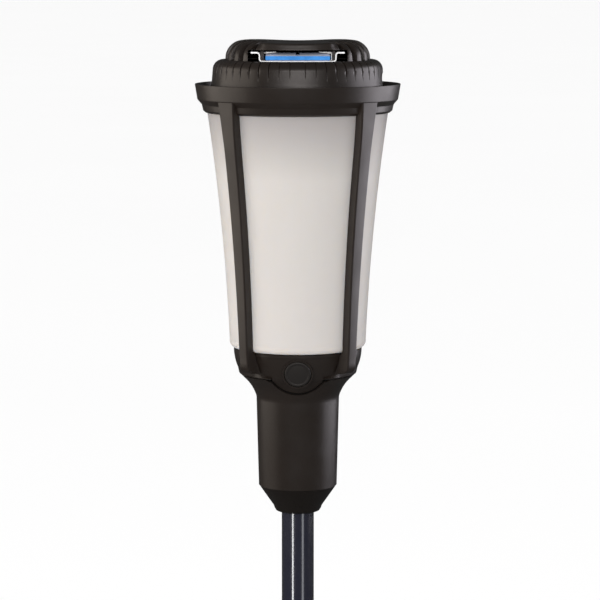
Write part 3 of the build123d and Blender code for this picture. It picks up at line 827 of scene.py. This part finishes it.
def make_mat():
    """Pressed mat: soft edges, the press's shallow dimples, a slot down its middle and a drooping front."""
    bm = bmesh.new()
    bmesh.ops.create_grid(bm, x_segments=60, y_segments=60, size=0.5)
    bmesh.ops.solidify(bm, geom=bm.faces[:], thickness=1.0)
    size = MAT_HIGH - MAT_LOW
    centre = (MAT_HIGH + MAT_LOW) / 2
    corner = 0.6 * MM
    for vert in bm.verts:
        u, v = vert.co.x, vert.co.y
        is_upper = vert.co.z > -0.5
        to_edge = min(0.5 - abs(u), 0.5 - abs(v)) * min(size.x, size.y)
        round_off = corner * (1 - min(1.0, to_edge / corner)) ** 2 * 0.6
        dimple = 0.12 * MM * (0.5 + 0.5 * cos(2 * pi * u * 11)) * (0.5 + 0.5 * cos(2 * pi * v * 11))
        in_slot = abs(u * size.x) < 0.8 * MM and v > -0.44
        slot = 2.0 * MM if in_slot else 0.0
        rise = size.z / 2 - round_off - dimple - slot
        droop = LIP_DROP * ease(1 - (v + 0.5) * size.y / (5 * MM))
        vert.co = centre + Vector((u * size.x, v * size.y, (rise if is_upper else -rise) - droop))
    return place(new_object("repellent_pad", bm, 50), "mat", "mat", "repellent_mat")


# ---------------------------------------------------------------- stage, light and camera
def make_stage():
    """Pale floor that glossy surfaces see as a dark one."""
    floor_z = cad_box[0][2]
    half = 400.0
    bm = bmesh.new()
    square = ((-half, -half), (half, -half), (half, half), (-half, half))
    bm.faces.new([bm.verts.new((x, y, floor_z)) for x, y in square])
    floor = new_object("studio_floor", bm)
    finish = Finish("pale_floor")
    pale = finish.blend(finish.noise(0.4, 2), (0.965, 0.965, 0.965), (0.98, 0.98, 0.98))
    rays = finish.nodes.new("ShaderNodeLightPath")
    finish.drive("Base Color", finish.blend(rays.outputs["Is Glossy Ray"], pale, (0.06, 0.06, 0.06)))
    finish.set("Roughness", 0.9)
    finish.set("Specular IOR Level", 0.1)
    floor.data.materials.append(finish.material)


def softbox(name, azimuth, height, distance, width, tall, power, colour, aim=0.17):
    """Area light that looks at the head. Azimuth 0 is in front, positive to the right."""
    target = Vector((0, 0, HEAD + aim))
    turn = radians(azimuth)
    data = bpy.data.lights.new(name, "AREA")
    data.shape = "RECTANGLE"
    data.size = width
    data.size_y = tall
    data.energy = power
    data.color = colour
    lamp = bpy.data.objects.new(name, data)
    lamp.location = around_axis(distance, turn, HEAD + height)
    lamp.rotation_euler = (target - lamp.location).to_track_quat("-Z", "Y").to_euler()
    bpy.context.scene.collection.objects.link(lamp)
    return lamp


def light_only(name, lamps, receivers, only_they_shade=False):
    """Let some lamps light only the receivers, and, if asked, be shaded only by them."""
    lit = bpy.data.collections.new(name)
    for piece in receivers:
        lit.objects.link(piece)
    for lamp in lamps:
        lamp.light_linking.receiver_collection = lit
        if only_they_shade:
            lamp.light_linking.blocker_collection = lit


def make_world():
    """Even white surroundings that glossy surfaces see as a dim studio."""
    world = bpy.data.worlds.new("studio")
    bpy.context.scene.world = world
    world.use_nodes = True
    nodes = world.node_tree.nodes
    links = world.node_tree.links
    background = nodes["Background"]
    background.inputs["Color"].default_value = (1, 1, 1, 1)
    rays = nodes.new("ShaderNodeLightPath")
    strength = nodes.new("ShaderNodeMapRange")
    strength.inputs["To Min"].default_value = 1.03
    strength.inputs["To Max"].default_value = 0.075
    links.new(rays.outputs["Is Glossy Ray"], strength.inputs["Value"])
    links.new(strength.outputs["Result"], background.inputs["Strength"])


def make_lights(pad):
    """Softboxes that shape the plastic, strips for the pole's two highlights and a lamp for the mat."""
    white = (1, 1, 1)
    softbox("left_box", -90, 0.27, 0.9, 1.05, 0.75, 3.9, (1.0, 0.90, 0.80))
    right = softbox("right_box", 103, 0.27, 0.9, 0.90, 0.75, 7.7, (0.98, 0.93, 0.99))
    right.visible_diffuse = False
    softbox("front_box", 0, 0.60, 1.5, 1.3, 0.32, 8.0, (1, 0.94, 0.92))
    pole_strips = [
        softbox("pole_strip_left", -36, -0.40, 1.3, 0.20, 0.5, 4.2, white, aim=-0.1),
        softbox("pole_strip_right", 36, -0.40, 1.3, 0.30, 0.5, 1.3, (0.95, 0.97, 1), aim=-0.1)]
    poles = [cad_nodes[name] for name in ("lower_pole", "middle_pole", "upper_pole")]
    light_only("lit_by_pole_strips", pole_strips, poles)
    mat_lamp = softbox("mat_lamp", 0, 1.20, 0.4, 0.3, 0.2, 1.6, white, aim=0.325)
    light_only("lit_by_mat_lamp", [mat_lamp], [pad], only_they_shade=True)
    fill = softbox("front_fill", -30, 0.50, 2.2, 0.9, 0.9, 20.0, white)
    fill.visible_glossy = False


def make_camera():
    """Long lens a little above the head, looking down at it."""
    target = Vector((0.0016, 0, HEAD + 0.150))
    pitch = radians(7.0)
    distance = 1.95
    frame_width = 0.432
    data = bpy.data.cameras.new("camera")
    data.sensor_width = 36.0
    data.lens = data.sensor_width * distance / frame_width
    data.clip_end = 2000
    camera = bpy.data.objects.new("camera", data)
    camera.location = target + Vector((0, -distance * cos(pitch), distance * sin(pitch)))
    camera.rotation_euler = (target - camera.location).to_track_quat("-Z", "Y").to_euler()
    bpy.context.scene.collection.objects.link(camera)
    bpy.context.scene.camera = camera
    bpy.context.scene.view_settings.view_transform = "Standard"


dress_frame()
make_cage()
make_handle()
make_nose()
make_button()
make_lower_grille()
make_upper_grille()
make_tray()
make_guides()
pad = make_mat()
make_stage()
make_world()
make_lights(pad)
make_camera()
